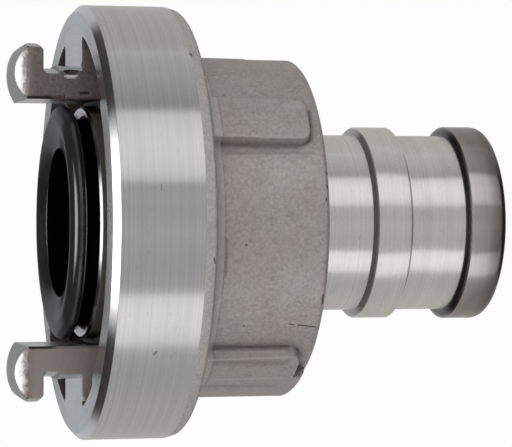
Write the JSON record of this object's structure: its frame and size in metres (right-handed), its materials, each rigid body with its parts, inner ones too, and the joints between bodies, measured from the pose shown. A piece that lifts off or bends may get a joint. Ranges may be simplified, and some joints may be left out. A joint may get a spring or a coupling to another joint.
{
  "type": "quarter turn fire hose coupling",
  "caption": "Quarter turn hose coupling with two hooked lugs, rubber sealing ring and swivelling ridged hose tail.",
  "frame": {"origin": "centre of the end face of the hose tail, on which the coupling stands", "axes": "+Z is the axis of the waterway and points to the lugs; +X points to one lug and -X to the other"},
  "size_m": [0.055, 0.055, 0.0619],
  "materials": {
    "cast_aluminium": "as cast, ring and lugs turned",
    "turned_aluminium": "finely turned",
    "spring_steel": "drawn wire",
    "seal_rubber": "smooth black"
  },
  "bodies": {
    "tail": {"hose_tail": "turned_aluminium", "sealing_ring": "seal_rubber"},
    "head": {"coupling_head": "cast_aluminium", "snap_ring": "spring_steel"}
  },
  "joints": [
    {"name": "head_swivel", "type": "hinge", "parent": "tail", "child": "head", "pos_m": [0, 0, 0.0359], "axis": [0, 0, 1], "continuous": true}
  ]
}
